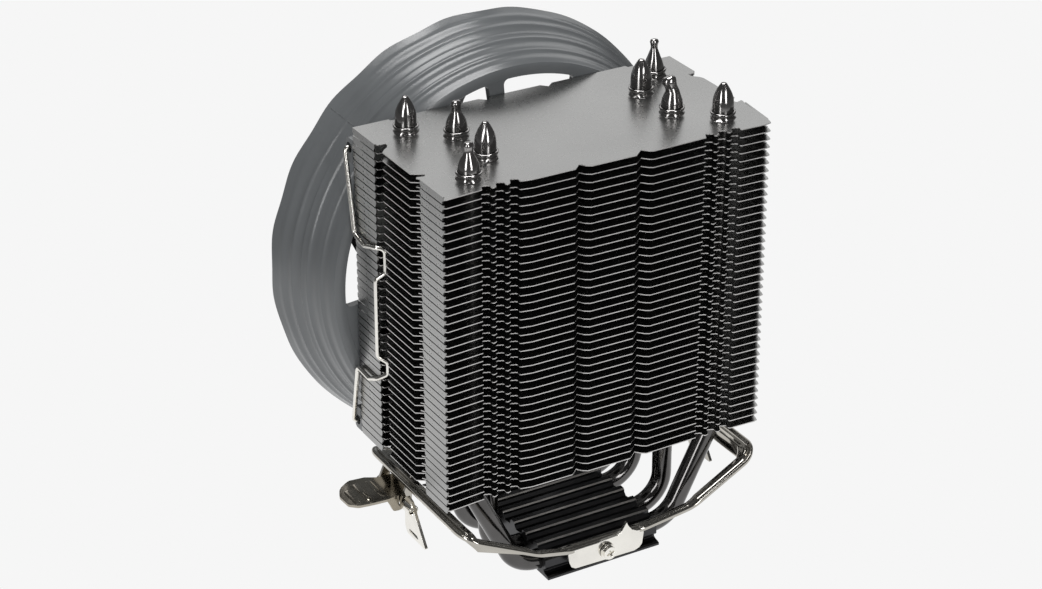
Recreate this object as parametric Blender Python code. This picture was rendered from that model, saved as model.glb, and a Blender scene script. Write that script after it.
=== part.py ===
"""CPU tower cooler: a stack of black fins on four U-shaped heat pipes, a ribbed
base, a round fan held by two wire clips, and a sprung retention frame with a
thumb lever and a hanging hook.

Dimensions are in millimetres and are scaled to metres where meshes are made.
Origin: centre of the base's contact face. +Z up, +Y towards the fan, -X
towards the lever.
"""
import math

import bmesh
import bpy
import numpy as np
from mathutils import Matrix, Vector

MM = 0.001
GAP = 0.3                      # clearance kept between touching pieces

# fin stack
FIN_COUNT = 40
FIN_PITCH = 2.5
FIN_THICK = 0.4
FIN_BOTTOM_Z = 36.3            # top face of the lowest fin
FIN_TOP_Z = FIN_BOTTOM_Z + (FIN_COUNT - 1) * FIN_PITCH
FIN_HALF_X = 53.4
FIN_BACK_Y = 28.1
FIN_FRONT_Y = -28.1
TAB_DROP = FIN_PITCH - FIN_THICK - GAP
TAB_WIDTH = 0.5
TAB_BACK = (14.3, FIN_BACK_Y)  # where each side tab starts and ends along Y
TAB_FRONT = (-25.0, -11.5)

# heat pipes
PIPE_R = 3.0
PIPE_SIDES = 10
PIPE_BASE_Z = 4.1
PIPE_OUTER_X, PIPE_OUTER_Y = 41.4, 18.3
PIPE_INNER_X, PIPE_INNER_Y = 30.6, 8.3
BULLET_HEIGHT = 10.8
PINCH_HEIGHT = 12.0

# base
BASE_HALF_X = 19.5
BASE_HALF_Y = 24.9
BASE_FACE_Y = 23.3
BASE_DECK_Z = 7.9
RIDGE_TOP_Z = 9.4
RIDGE_PITCH = 6.9
RIDGE_WIDTH = 2.2
SCREW_Z = 5.2
SCREW_R = 1.3

# fan
FAN_Z = 80.8
FAN_NEAR_Y = FIN_BACK_Y + GAP
FAN_DEPTH = 25.0
FAN_FAR_Y = FAN_NEAR_Y + FAN_DEPTH
FAN_NEAR_R = 60.2
FAN_FAR_R = 69.4
WINDOW_R = 57.0
SPOKE_COUNT = 12
SPOKE_FIRST_DEG = 6.0
SPOKE_WIDTH = 5.4
SPOKE_DEPTH = 2.4
MOTOR_R = 21.0
BLADE_COUNT = 7
BLADE_FIRST_DEG = 22.0
BLADE_TIP_R = 56.0
HUB_R = 20.5
SHAFT_R = 1.5

# wire clips
WIRE_R = 0.7
CLIP_X = 54.5
CLIP_PIVOT_X = 53.0
CLIP_Y = 31.0
CLIP_TOP_Z, CLIP_BOTTOM_Z = 126.5, 37.0
CLIP_TIP_X = 51.7

# retention frame
SHEET = 1.0
WEB_Y = 26.4                   # outer face of the front and back webs
WEB_HALF_X = 13.0
WEB_BOTTOM_Z, WEB_TOP_Z = 2.1, 9.2
STRIP_WIDTH = 4.5
FLANGE_WIDTH = 3.9             # narrower over the webs, so the base's deck stays clear
WALL_DROP = 2.8
RAIL_X, RAIL_Z = 51.2, 27.8
RAIL_HALF_Y = 30.5
RAIL_WALL_DROP = 4.8           # inner wall of the two side rails
ARM_BEND = (26.9, 32.7, 16.3)
PIN_X, PIN_Z, PIN_R = -50.4, 19.6, 1.1
EAR_FRONT_Y, EAR_BACK_Y = 6.85, 23.15
EAR_HALF = 0.45

# thumb lever and hooks
LEVER_Y0, LEVER_Y1 = 7.6, 22.4
LEVER_Z = 22.2                 # top of the thumb plate
LEVER_ROOT_X, LEVER_TIP_X = -47.6, -66.3
HOOK_X = 50.2
HOOK_Y0, HOOK_Y1 = -7.0, 5.4
HOOK_BOTTOM_Z = 10.6


# ---------------------------------------------------------------- helpers
def clear_scene():
    for obj in list(bpy.data.objects):
        bpy.data.objects.remove(obj, do_unlink=True)


def material(name, colour, roughness, metallic):
    mat = bpy.data.materials.new(name)
    mat.use_nodes = True
    shader = mat.node_tree.nodes["Principled BSDF"]
    shader.inputs["Base Color"].default_value = (*colour, 1.0)
    shader.inputs["Roughness"].default_value = roughness
    shader.inputs["Metallic"].default_value = metallic
    mat.diffuse_color = (*colour, 1.0)
    return mat


def add_mesh(name, bm, mat=None, pivot=(0.0, 0.0, 0.0), smooth=False):
    """Turn a bmesh in millimetres into an object whose origin is at pivot."""
    pivot = Vector(pivot)
    bmesh.ops.translate(bm, verts=bm.verts, vec=-pivot)
    bmesh.ops.scale(bm, verts=bm.verts, vec=(MM, MM, MM))
    bmesh.ops.recalc_face_normals(bm, faces=bm.faces)
    mesh = bpy.data.meshes.new(name)
    bm.to_mesh(mesh)
    bm.free()
    obj = bpy.data.objects.new(name, mesh)
    obj.location = pivot * MM
    bpy.context.collection.objects.link(obj)
    if mat is not None:
        mesh.materials.append(mat)
    if smooth:
        mesh.shade_smooth()
        mesh.set_sharp_from_angle(angle=math.radians(40.0))
    return obj


def combine(target, other, operation):
    """Boolean of two objects; the second one becomes a hidden guide."""
    other.hide_render = True
    other.display_type = "WIRE"
    modifier = target.modifiers.new(other.name, "BOOLEAN")
    modifier.operation = operation
    modifier.solver = "EXACT"
    modifier.object = other


def prism(outline, holes, low, high, strips=()):
    """Solid between two heights; strips are quads that share the outline's edges.

    Returns the bmesh and the strips' faces on its underside.
    """
    bm = bmesh.new()
    corner = {}

    def vertex(point):
        key = (round(point[0], 4), round(point[1], 4))
        if key not in corner:
            corner[key] = bm.verts.new((point[0], point[1], low))
        return corner[key]

    edges = []
    for loop in [outline, *holes]:
        ring = [vertex(p) for p in loop]
        edges += [bm.edges.new((ring[i - 1], ring[i])) for i in range(len(ring))]
    bmesh.ops.triangle_fill(bm, use_beauty=True, edges=edges)
    quads = [bm.faces.new([vertex(p) for p in strip]) for strip in strips]
    bmesh.ops.recalc_face_normals(bm, faces=bm.faces)
    grown = bmesh.ops.extrude_face_region(bm, geom=list(bm.faces))["geom"]
    top = [g for g in grown if isinstance(g, bmesh.types.BMVert)]
    bmesh.ops.translate(bm, verts=top, vec=(0.0, 0.0, high - low))
    return bm, quads


# An outline is drawn as (x, y) for a plate along Z, (y, z) along X, (x, z) along Y.
PLATE_TURN = {"Z": Matrix.Identity(4),
              "X": Matrix(((0, 0, 1, 0), (1, 0, 0, 0), (0, 1, 0, 0), (0, 0, 0, 1))),
              "Y": Matrix(((1, 0, 0, 0), (0, 0, 1, 0), (0, 1, 0, 0), (0, 0, 0, 1)))}


def plate(name, outline, low, high, axis="Z", holes=(), mat=None, pivot=(0, 0, 0)):
    bm, _ = prism(outline, holes, low, high)
    bmesh.ops.transform(bm, matrix=PLATE_TURN[axis], verts=bm.verts)
    return add_mesh(name, bm, mat, pivot)


def circle(centre, radius, sides):
    turns = [2.0 * math.pi * i / sides for i in range(sides)]
    return [(centre[0] + radius * math.cos(t), centre[1] + radius * math.sin(t)) for t in turns]


def box(name, low, high, mat=None):
    outline = [(low[0], low[1]), (high[0], low[1]), (high[0], high[1]), (low[0], high[1])]
    return plate(name, outline, low[2], high[2], mat=mat)


def loft(rings, closed=False):
    """Bmesh skin over rings of equal length."""
    bm = bmesh.new()
    loops = [[bm.verts.new(p) for p in ring] for ring in rings]
    count = len(loops[0])
    spans = len(loops) if closed else len(loops) - 1
    for i in range(spans):
        a, b = loops[i], loops[(i + 1) % len(loops)]
        for j in range(count):
            k = (j + 1) % count
            bm.faces.new((a[j], a[k], b[k], b[j]))
    if not closed:
        bm.faces.new(loops[0])
        bm.faces.new(loops[-1][::-1])
    return bm


def turned(name, profile, sides, mat=None, pivot=(0, 0, 0)):
    """Closed profile of (radius, y) points turned about the fan's Y axis."""
    rings = []
    for i in range(sides):
        t = 2.0 * math.pi * i / sides
        rings.append([(r * math.cos(t), y, FAN_Z + r * math.sin(t)) for r, y in profile])
    bm = loft(rings, closed=True)
    return add_mesh(name, bm, mat, pivot, smooth=True)


def rod(name, start, end, radius, sides, mat=None, pivot=(0, 0, 0)):
    """Round bar between two points."""
    bm = tube_bmesh([Vector(start), Vector(end)], [radius, radius], sides)
    return add_mesh(name, bm, mat, pivot, smooth=True)


def tube_bmesh(points, radii, sides):
    """Round tube through points, with a radius at each of them."""
    points = [Vector(p) for p in points]
    rings = []
    side = None
    for i, point in enumerate(points):
        before = points[max(i - 1, 0)]
        after = points[min(i + 1, len(points) - 1)]
        along = (after - before).normalized()
        if side is None:
            guess = Vector((0, 1, 0)) if abs(along.y) < 0.9 else Vector((0, 0, 1))
            side = along.cross(guess).normalized()
        side = (side - along * side.dot(along)).normalized()
        other = along.cross(side)
        ring = []
        for k in range(sides):
            t = 2.0 * math.pi * k / sides
            ring.append(point + radii[i] * (math.cos(t) * side + math.sin(t) * other))
        rings.append(ring)
    return loft(rings)


# ---------------------------------------------------------------- fin stack
def fin_outline():
    """Plan of one fin without its tabs, anticlockwise from the back left corner."""
    tab_x = FIN_HALF_X - TAB_WIDTH
    left = [(-tab_x, FIN_BACK_Y), (-tab_x, TAB_BACK[0]), (-49.7, 13.1), (-53.6, 8.8),
            (-54.2, -8.5), (-tab_x, TAB_FRONT[1]), (-tab_x, TAB_FRONT[0])]
    front = [(-53.0, FIN_FRONT_Y + 1.9), (-13.2, FIN_FRONT_Y), (-10.8, FIN_FRONT_Y + 2.2),
             (7.0, FIN_FRONT_Y), (9.2, FIN_FRONT_Y + 2.3), (28.6, FIN_FRONT_Y),
             (53.0, FIN_FRONT_Y + 1.3)]
    right = [(-x, y) for x, y in reversed(left)]
    return left + front + right


def pipe_centres():
    return [(sx * x, sy * y) for x, y in ((PIPE_OUTER_X, PIPE_OUTER_Y), (PIPE_INNER_X, PIPE_INNER_Y))
            for sx in (-1, 1) for sy in (-1, 1)]


def fin_mesh():
    """One fin with four pairs of pipe holes and a folded tab at each corner."""
    tabs = []
    for sx in (-1, 1):
        edge, inner = sx * FIN_HALF_X, sx * (FIN_HALF_X - TAB_WIDTH)
        for y0, y1 in (TAB_BACK, TAB_FRONT):
            tabs.append([(edge, y0), (edge, y1), (inner, y1), (inner, y0)])
    hole_r = (PIPE_R + GAP) / math.cos(math.pi / 6) + 0.02
    holes = [circle(centre, hole_r, 6) for centre in pipe_centres()]
    bm, feet = prism(fin_outline(), holes, -FIN_THICK, 0.0, strips=tabs)
    grown = bmesh.ops.extrude_face_region(bm, geom=feet)["geom"]
    bmesh.ops.delete(bm, geom=feet, context="FACES_ONLY")
    lower = [g for g in grown if isinstance(g, bmesh.types.BMVert)]
    bmesh.ops.translate(bm, verts=lower, vec=(0.0, 0.0, -TAB_DROP))
    return bm


def make_fins(mat):
    for i in range(FIN_COUNT):
        bm = fin_mesh()
        bmesh.ops.translate(bm, verts=bm.verts, vec=(0.0, 0.0, FIN_BOTTOM_Z + i * FIN_PITCH))
        add_mesh(f"fin_{i + 1:02d}", bm, mat)


# ---------------------------------------------------------------- heat pipes
def tip_rings(kind, z):
    """(height, radius) pairs of a closed pipe end above the top fin."""
    if kind == "bullet":
        steps = [(0.0, 1.0), (3.6, 1.0), (6.4, 0.8), (8.8, 0.52), (BULLET_HEIGHT, 0.12)]
    else:
        steps = [(0.0, 1.0), (2.6, 1.0), (7.4, 0.42), (8.6, 0.3), (9.4, 0.42), (PINCH_HEIGHT, 0.3)]
    return [(z + h, f * PIPE_R) for h, f in steps]


def pipe_side(reach, inclined):
    """(x, z) points of one half of the U, from the base outwards and up."""
    if inclined:
        return [(16.0, PIPE_BASE_Z), (22.4, PIPE_BASE_Z + 0.1), (26.2, PIPE_BASE_Z + 1.5),
                (29.0, PIPE_BASE_Z + 4.5), (37.6, 26.3), (39.8, 30.8), (reach, 36.5)]
    bend = reach - 20.4
    arc = [math.radians(a) for a in (0, 18, 36, 54, 72, 90)]
    return [(20.4 + bend * math.sin(a), PIPE_BASE_Z + bend * (1 - math.cos(a))) for a in arc]


def make_pipe(name, reach, y, inclined, left_tip, right_tip, mat):
    half = pipe_side(reach, inclined)
    right = [((x, y, z), PIPE_R) for x, z in half]
    right += [((reach, y, z), r) for z, r in tip_rings(right_tip, FIN_TOP_Z)]
    left = [((-x, y, z), PIPE_R) for x, z in half]
    left += [((-reach, y, z), r) for z, r in tip_rings(left_tip, FIN_TOP_Z)]
    path = left[::-1] + right
    bm = tube_bmesh([p for p, _ in path], [r for _, r in path], PIPE_SIDES)
    add_mesh(name, bm, mat, smooth=True)


def make_pipes(mat):
    make_pipe("heatpipe_1", PIPE_OUTER_X, PIPE_OUTER_Y, True, "bullet", "pinched", mat)
    make_pipe("heatpipe_2", PIPE_INNER_X, PIPE_INNER_Y, False, "pinched", "bullet", mat)
    make_pipe("heatpipe_3", PIPE_INNER_X, -PIPE_INNER_Y, False, "bullet", "pinched", mat)
    make_pipe("heatpipe_4", PIPE_OUTER_X, -PIPE_OUTER_Y, True, "pinched", "bullet", mat)


# ---------------------------------------------------------------- base
def base_profile():
    """Section of the extruded base in the YZ plane, from the front foot round."""
    edge = [(-BASE_HALF_Y, 0.0), (-BASE_HALF_Y, 0.7), (-23.2, 1.2), (-22.2, 1.9), (-22.2, 2.6),
            (-BASE_FACE_Y, 3.3), (-BASE_FACE_Y, 6.6), (-22.1, 6.6), (-22.1, BASE_DECK_Z)]
    ridges = []
    for i in range(6):
        y = (i - 2.5) * RIDGE_PITCH
        half = RIDGE_WIDTH / 2
        ridges += [(y - half, BASE_DECK_Z), (y - half + 0.3, RIDGE_TOP_Z),
                   (y + half - 0.3, RIDGE_TOP_Z), (y + half, BASE_DECK_Z)]
    back = [(-y, z) for y, z in reversed(edge)]
    return edge + ridges + back


def make_base(mat):
    bores = [circle((y, PIPE_BASE_Z), (PIPE_R + GAP) / math.cos(math.pi / 10), 10)
             for y in (-PIPE_OUTER_Y, -PIPE_INNER_Y, PIPE_INNER_Y, PIPE_OUTER_Y)]
    base = plate("base_block", base_profile(), -BASE_HALF_X, BASE_HALF_X, "X", bores, mat)
    for side, label in ((-1, "front"), (1, "back")):
        hole = rod(f"cut_{label}", (0, side * (BASE_FACE_Y + 3.0), SCREW_Z),
                   (0, side * (BASE_FACE_Y - 1.1), SCREW_Z), SCREW_R + GAP + 0.05, 10)
        combine(base, hole, "DIFFERENCE")


def make_screws(mat):
    """Round-head screws that hold the retention frame's webs."""
    for side, label in ((-1, "front"), (1, "back")):
        stations = [(WEB_Y + GAP + 1.7, 1.9), (WEB_Y + GAP + 1.2, 2.45), (WEB_Y + GAP, 2.55),
                    (WEB_Y + GAP - 0.001, SCREW_R), (BASE_FACE_Y - 0.8, SCREW_R)]
        rings = []
        for y, r in stations:
            rings.append([(px, side * y, pz) for px, pz in circle((0, SCREW_Z), r, 12)])
        add_mesh(f"screw_{label}", loft(rings), mat, smooth=True)


# ---------------------------------------------------------------- fan
def make_fan_frame(mat):
    near, far = FAN_NEAR_Y, FAN_FAR_Y
    profile = [(FAN_NEAR_R, near), (62.2, near + 5.0), (65.0, near + 12.0), (67.3, near + 18.5),
               (FAN_FAR_R, far), (FAN_FAR_R - 1.5, far), (63.6, near + 19.0),
               (59.6, near + 11.0), (58.0, near + 2.2), (WINDOW_R, near + 2.2), (WINDOW_R, near)]
    frame = turned("fan_frame", profile, 48, mat)
    for i in range(SPOKE_COUNT):
        t = math.radians(SPOKE_FIRST_DEG + i * 360.0 / SPOKE_COUNT)
        along, across = Vector((math.cos(t), math.sin(t))), Vector((-math.sin(t), math.cos(t)))
        inner, outer = along * 19.0, along * 58.0
        half_in, half_out = across * SPOKE_WIDTH * 0.3, across * SPOKE_WIDTH * 0.5
        outline = [inner + half_in, inner - half_in, outer - half_out, outer + half_out]
        outline = [(p.x, p.y + FAN_Z) for p in outline]
        spoke = plate(f"spoke_{i}", outline, near + 0.15, near + SPOKE_DEPTH, "Y")
        combine(frame, spoke, "UNION")
    hub = turned("motor_seat", [(MOTOR_R, near + 0.1), (MOTOR_R, near + 2.5), (5.6, near + 2.5),
                                (5.6, near + 14.0), (4.3, near + 14.0), (4.3, near + 0.1)], 24)
    combine(frame, hub, "UNION")
    for sx in (-1, 1):
        for z, low, high in ((CLIP_TOP_Z, -4.5, 3.0), (CLIP_BOTTOM_Z, -3.0, 4.5)):
            xs = sorted((sx * 53.2, sx * 43.0))
            lug = box(f"lug_{sx}_{z:.0f}", (xs[0], near + 0.05, z + low), (xs[1], near + 4.2, z + high))
            combine(frame, lug, "UNION")
            hole = rod(f"lug_hole_{sx}_{z:.0f}", (sx * 56.0, CLIP_Y, z), (sx * 49.0, CLIP_Y, z), 1.65, 8)
            combine(frame, hole, "DIFFERENCE")


def blade_bmesh(turn):
    """Twisted blade from inside the hub wall to the tip."""
    rings = []
    for r in np.linspace(HUB_R - 1.2, BLADE_TIP_R, 4):
        s = (r - HUB_R) / (BLADE_TIP_R - HUB_R)
        chord = math.radians(32.0 - 10.0 * s)
        depth = 15.0 - 5.0 * s
        middle = turn - math.radians(26.0) * s * s
        upper, lower = [], []
        for u in np.linspace(-0.5, 0.5, 4):
            t = middle - u * chord
            y = FAN_NEAR_Y + 12.5 + u * depth + 1.2 * (0.25 - u * u) * 4.0
            thick = 0.55 + 0.9 * (0.25 - u * u)
            upper.append((r * math.cos(t), y + thick, FAN_Z + r * math.sin(t)))
            lower.append((r * math.cos(t), y - thick, FAN_Z + r * math.sin(t)))
        rings.append(upper + lower[::-1])
    return loft(rings)


def make_rotor(mat):
    near = FAN_NEAR_Y
    pivot = (0.0, near + 12.5, FAN_Z)
    cup = [(HUB_R, near + 3.0), (HUB_R, near + 20.5), (HUB_R - 2.0, near + 22.0), (2.0, near + 22.0),
           (1.8, near + 16.0), (3.6, near + 16.0), (3.6, near + 20.0), (HUB_R - 2.0, near + 20.0),
           (HUB_R - 2.0, near + 3.0)]
    rotor = turned("fan_rotor", cup, 28, mat, pivot)
    for i in range(BLADE_COUNT):
        blade = add_mesh(f"blade_{i}", blade_bmesh(math.radians(BLADE_FIRST_DEG + i * 360.0 / BLADE_COUNT)))
        combine(rotor, blade, "UNION")


def make_motor(steel, brass, copper, board):
    near = FAN_NEAR_Y
    pivot = (0.0, near + 12.5, FAN_Z)
    rod("fan_shaft", (0, near + 0.8, FAN_Z), (0, near + 21.0, FAN_Z), SHAFT_R, 12, steel, pivot)
    turned("fan_bearing", [(4.0, near + 0.8), (4.0, near + 13.5), (1.85, near + 13.5),
                           (1.85, near + 0.8)], 16, brass)
    turned("fan_stator", [(14.6, near + 5.2), (14.6, near + 12.0), (5.95, near + 12.0),
                          (5.95, near + 5.2)], 20, copper)
    turned("fan_circuit_board", [(16.0, near + 3.2), (16.0, near + 4.4), (6.2, near + 4.4),
                                 (6.2, near + 3.2)], 20, board)
    turned("fan_magnet_ring", [(18.1, near + 5.0), (18.1, near + 15.0), (15.4, near + 15.0),
                               (15.4, near + 5.0)], 24, steel, pivot)


# ---------------------------------------------------------------- wire clips
def clip_route(side):
    """Points of the left clip from its top end to its bottom end."""
    x = -CLIP_X
    groove = -51.95
    run = [(-CLIP_TIP_X, CLIP_Y, CLIP_TOP_Z), (-53.6, CLIP_Y, CLIP_TOP_Z + 0.1),
           (x, 30.4, CLIP_TOP_Z - 0.7), (x, 26.8, 102.6), (x, 25.6, 100.9), (x, 20.6, 100.2),
           (x, 16.0, 101.4), (-54.0, 13.2, 102.2), (groove, 12.2, 101.6), (groove, 12.2, 95.4),
           (-53.6, 13.2, 93.0), (x, 13.6, 91.4), (x, 13.8, 67.4), (-53.6, 12.9, 65.6),
           (groove, 12.2, 64.6), (groove, 12.2, 62.4), (-54.0, 13.1, 60.4), (x, 16.2, 58.4),
           (x, 19.4, 56.9), (x, 26.2, 57.2), (x, 27.5, 55.9), (x, 31.0, 38.4),
           (-53.6, CLIP_Y, CLIP_BOTTOM_Z - 0.1), (-CLIP_TIP_X, CLIP_Y, CLIP_BOTTOM_Z)]
    return [(-side * px, y, z) for px, y, z in run]


def make_clips(mat):
    for side, label in ((-1, "left"), (1, "right")):
        route = clip_route(side)
        bm = tube_bmesh(route, [WIRE_R] * len(route), 6)
        add_mesh(f"fan_clip_{label}", bm, mat, (side * CLIP_PIVOT_X, CLIP_Y, FAN_Z), smooth=True)


# ---------------------------------------------------------------- retention frame
def frame_route():
    """Closed route of the strip's outer top edge, one quarter mirrored round."""
    bx, by, bz = ARM_BEND
    quarter = [(0.0, WEB_Y, WEB_TOP_Z), (10.5, WEB_Y, WEB_TOP_Z), (14.5, WEB_Y + 1.2, 10.4),
               (bx - 2.0, by - 0.6, bz - 0.8), (bx + 2.2, by - 0.3, bz + 1.0),
               (RAIL_X - 4.0, RAIL_HALF_Y + 1.1, RAIL_Z - 1.6),
               (RAIL_X - 1.2, RAIL_HALF_Y - 0.5, RAIL_Z - 0.2), (RAIL_X, RAIL_HALF_Y - 3.5, RAIL_Z)]
    front_right = [(x, -y, z) for x, y, z in quarter]
    back_right = [(x, y, z) for x, y, z in reversed(quarter)]
    back_left = [(-x, y, z) for x, y, z in quarter[1:]]
    front_left = [(-x, -y, z) for x, y, z in reversed(quarter[1:])]
    return front_right + back_right + back_left + front_left


def strip_rings(route):
    """L-section of the strip: a top plate inwards and a wall down the outside."""
    rings = []
    count = len(route)
    for i in range(count):
        point = Vector(route[i])
        along = Vector(route[(i + 1) % count]) - Vector(route[i - 1])
        along.z = 0.0
        along.normalize()
        inward = Vector((-along.y, along.x, 0.0))
        down = Vector((0.0, 0.0, -1.0))
        width = STRIP_WIDTH if point.z > 11.0 else FLANGE_WIDTH
        section = [(0, 0), (width, 0), (width, SHEET), (SHEET, SHEET),
                   (SHEET, WALL_DROP), (0, WALL_DROP)]
        rings.append([point + inward * a + down * b for a, b in section])
    return rings


def make_retention_frame(mat):
    pivot = (0.0, 0.0, SCREW_Z)
    frame = add_mesh("retention_frame", loft(strip_rings(frame_route()), closed=True), mat, pivot)
    for side, label in ((-1, "front"), (1, "back")):
        ys = sorted((side * WEB_Y, side * (WEB_Y - SHEET)))
        web = plate(f"web_{label}", [(-11.3, WEB_BOTTOM_Z), (11.3, WEB_BOTTOM_Z),
                                     (WEB_HALF_X, 4.0), (12.0, WEB_TOP_Z - 0.4),
                                     (-12.0, WEB_TOP_Z - 0.4), (-WEB_HALF_X, 4.0)],
                    ys[0] - 0.02, ys[1] - 0.02, "Y")
        combine(frame, web, "UNION")
        hole = rod(f"web_hole_{label}", (0, side * (WEB_Y + 3.0), SCREW_Z),
                   (0, side * (WEB_Y - 4.0), SCREW_Z), SCREW_R + GAP + 0.05, 10)
        combine(frame, hole, "DIFFERENCE")
    for sx in (-1, 1):
        xs = sorted((sx * (RAIL_X - STRIP_WIDTH + 0.05), sx * (RAIL_X - STRIP_WIDTH + SHEET)))
        wall = box(f"rail_wall_{sx}", (xs[0], 4.1 - RAIL_HALF_Y, RAIL_Z - RAIL_WALL_DROP),
                   (xs[1], RAIL_HALF_Y - 4.1, RAIL_Z - 0.55))
        combine(frame, wall, "UNION")
    for y, label in ((EAR_FRONT_Y, "front"), (EAR_BACK_Y, "back")):
        ear = plate(f"ear_{label}", [(PIN_X - 1.2, PIN_Z - 2.3), (PIN_X + 1.2, PIN_Z - 2.3),
                                     (PIN_X + 2.2, PIN_Z - 1.2), (PIN_X + 2.2, RAIL_Z - 0.6),
                                     (PIN_X - 0.4, RAIL_Z - 0.6), (PIN_X - 0.4, 24.6),
                                     (PIN_X - 2.2, 22.6), (PIN_X - 2.2, PIN_Z - 1.2)],
                    y - EAR_HALF, y + EAR_HALF, "Y")
        combine(frame, ear, "UNION")
    hook = plate("fixed_hook", [(HOOK_Y0, HOOK_BOTTOM_Z), (HOOK_Y1, HOOK_BOTTOM_Z), (HOOK_Y1 + 3.0, 17.0),
                                (HOOK_Y1 + 3.0, RAIL_Z - 1.5), (HOOK_Y0 + 6.0, RAIL_Z - 1.5),
                                (HOOK_Y0 + 3.0, 15.0)],
                 HOOK_X - 0.6, HOOK_X + 0.3, "X",
                 [[(HOOK_Y0 + 3.8, 12.4), (HOOK_Y1 - 1.6, 12.4), (HOOK_Y1 - 0.6, 16.2), (HOOK_Y0 + 5.4, 16.2)]])
    combine(frame, hook, "UNION")
    bore = rod("ear_bore", (PIN_X, EAR_FRONT_Y - 3, PIN_Z), (PIN_X, EAR_BACK_Y + 3, PIN_Z), PIN_R + GAP + 0.1, 10)
    combine(frame, bore, "DIFFERENCE")


def make_pin(mat):
    back, front = EAR_BACK_Y + EAR_HALF + GAP, 1.1
    stations = [(back + 0.8, 1.8), (back, 1.8), (back - 0.001, PIN_R),
                (front, PIN_R), (front - 0.001, 1.8), (front - 0.8, 1.8)]
    rings = [[(px, y, pz) for px, pz in circle((PIN_X, PIN_Z), r, 10)] for y, r in stations]
    add_mesh("lever_pin", loft(rings), mat, (PIN_X, 12.0, PIN_Z), smooth=True)


def make_lever(mat):
    """Thumb plate with two ears that turn on the pin."""
    pivot = (PIN_X, 15.0, PIN_Z)
    tip, root, y0, y1 = LEVER_TIP_X, LEVER_ROOT_X, LEVER_Y0, LEVER_Y1
    outline = [(root, y0 + 1.8), (-50.5, y0), (tip + 5.0, y0), (tip + 1.6, y0 + 1.6), (tip, y0 + 5.0),
               (tip, y1 - 5.0), (tip + 1.6, y1 - 1.6), (tip + 5.0, y1), (-50.5, y1), (root, y1 - 1.8)]
    lever = plate("lever", outline, LEVER_Z - SHEET, LEVER_Z, mat=mat, pivot=pivot)
    for y, label in ((y0 + 0.05, "front"), (y1 - 1.15, "back")):
        ear = plate(f"lever_ear_{label}", [(PIN_X - 3.6, 16.6), (PIN_X - 2.0, 16.3), (PIN_X + 0.8, 17.3),
                                           (PIN_X + 2.1, 18.6), (PIN_X + 2.1, LEVER_Z - 0.6),
                                           (PIN_X - 3.4, LEVER_Z - 0.6), (PIN_X - 4.4, 18.6)],
                    y, y + 1.1, "Y")
        combine(lever, ear, "UNION")
    bore = rod("lever_bore", (PIN_X, y0 - 3, PIN_Z), (PIN_X, y1 + 3, PIN_Z), PIN_R + GAP + 0.1, 10)
    combine(lever, bore, "DIFFERENCE")


def make_hook(mat):
    """Hanging hook plate with a window for the socket's lug."""
    pivot = (PIN_X, 3.75, PIN_Z)
    hook = rod("hook", (PIN_X, 1.5, PIN_Z), (PIN_X, 6.0, PIN_Z), 2.3, 12, mat, pivot)
    sheet = plate("hook_plate", [(HOOK_Y0, HOOK_BOTTOM_Z), (HOOK_Y1, HOOK_BOTTOM_Z), (5.9, 12.4),
                                 (5.9, 22.6), (4.4, 24.1), (3.4, 23.6), (1.5, 17.4), (-3.5, 13.7)],
                  -HOOK_X - 0.7, -HOOK_X + 0.2, "X",
                  [[(HOOK_Y0 + 4.6, 12.2), (HOOK_Y1 - 1.6, 12.2), (HOOK_Y1 - 1.6, 15.2), (HOOK_Y0 + 6.6, 15.2)]])
    combine(hook, sheet, "UNION")
    bore = rod("hook_bore", (PIN_X, -3, PIN_Z), (PIN_X, 8, PIN_Z), PIN_R + GAP + 0.1, 10)
    combine(hook, bore, "DIFFERENCE")


def main():
    clear_scene()
    fin_black = material("fin_black", (0.05, 0.05, 0.053), 0.38, 0.7)
    nickel = material("black_nickel", (0.16, 0.155, 0.16), 0.2, 1.0)
    base_black = material("base_black", (0.02, 0.02, 0.022), 0.35, 0.6)
    fan_plastic = material("fan_plastic", (0.085, 0.09, 0.098), 0.45, 0.0)
    rotor_plastic = material("rotor_plastic", (0.03, 0.03, 0.033), 0.4, 0.0)
    bright = material("bright_nickel", (0.78, 0.77, 0.74), 0.18, 1.0)
    frame_steel = material("frame_nickel", (0.25, 0.24, 0.22), 0.22, 1.0)
    steel = material("motor_steel", (0.5, 0.5, 0.5), 0.35, 1.0)
    brass = material("bearing_brass", (0.7, 0.55, 0.25), 0.3, 1.0)
    copper = material("winding_copper", (0.6, 0.3, 0.15), 0.45, 1.0)
    board = material("board_green", (0.02, 0.12, 0.05), 0.5, 0.0)

    make_fins(fin_black)
    make_pipes(nickel)
    make_base(base_black)
    make_screws(bright)
    make_fan_frame(fan_plastic)
    make_rotor(rotor_plastic)
    make_motor(steel, brass, copper, board)
    make_clips(bright)
    make_retention_frame(frame_steel)
    make_pin(bright)
    make_lever(frame_steel)
    make_hook(bright)


main()
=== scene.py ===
"""Looks of the CPU tower cooler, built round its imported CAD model.

Every shape is drawn in millimetres in the CAD's frame and scaled to metres
when its mesh is made: origin at the centre of the base's contact face, +Z up,
+Y towards the fan, -X towards the thumb lever.
"""

import math

import bmesh
import bpy
from mathutils import Matrix, Vector


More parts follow.
